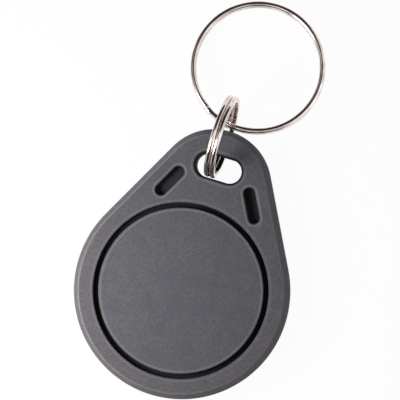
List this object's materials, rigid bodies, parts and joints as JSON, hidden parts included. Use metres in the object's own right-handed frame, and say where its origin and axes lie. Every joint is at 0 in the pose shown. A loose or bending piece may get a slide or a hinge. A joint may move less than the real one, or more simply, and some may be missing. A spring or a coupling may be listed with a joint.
{
  "type": "rfid key fob",
  "caption": "Teardrop plastic proximity key fob with a grooved round face and a slotted tip, on a small split link ring and a larger split key ring.",
  "frame": {"origin": "centre of the flat round disc on the back face of the case", "axes": "+Z out of the front face, +Y along the case from the disc to the slotted tip and the rings, +X to the right seen from the front"},
  "size_m": [0.032, 0.0608, 0.0133],
  "materials": {
    "grey_abs": "fine matt mould texture",
    "nickel_plate": "bright nickel-plated steel wire",
    "enamelled_copper": "enamelled copper winding",
    "glass_epoxy": "bare glass-epoxy laminate",
    "copper_foil": "gold-flashed copper foil",
    "silicon": "polished silicon",
    "black_epoxy": "glossy black epoxy",
    "solder": "bright solder"
  },
  "bodies": {
    "fob": {"front_shell": "grey_abs", "back_shell": "grey_abs", "antenna_coil": "enamelled_copper", "module_board": "glass_epoxy", "contact_pads": "copper_foil", "chip_die": "silicon", "glob_top": "black_epoxy", "solder_joints": "solder"},
    "link": {"link_ring": "nickel_plate"},
    "key": {"key_ring": "nickel_plate"}
  },
  "joints": [
    {"name": "link_turn", "type": "hinge", "parent": "fob", "child": "link", "pos_m": [-0.00084, 0.02337, 0.00462], "axis": [0.9988, 0, 0.048], "range_deg": [0, 120]},
    {"name": "key_swing", "type": "hinge", "parent": "link", "child": "key", "pos_m": [-0.00065, 0.02541, 0.00073], "axis": [0.9882, -0.1517, 0.0189], "range_deg": [-75, 75]}
  ]
}
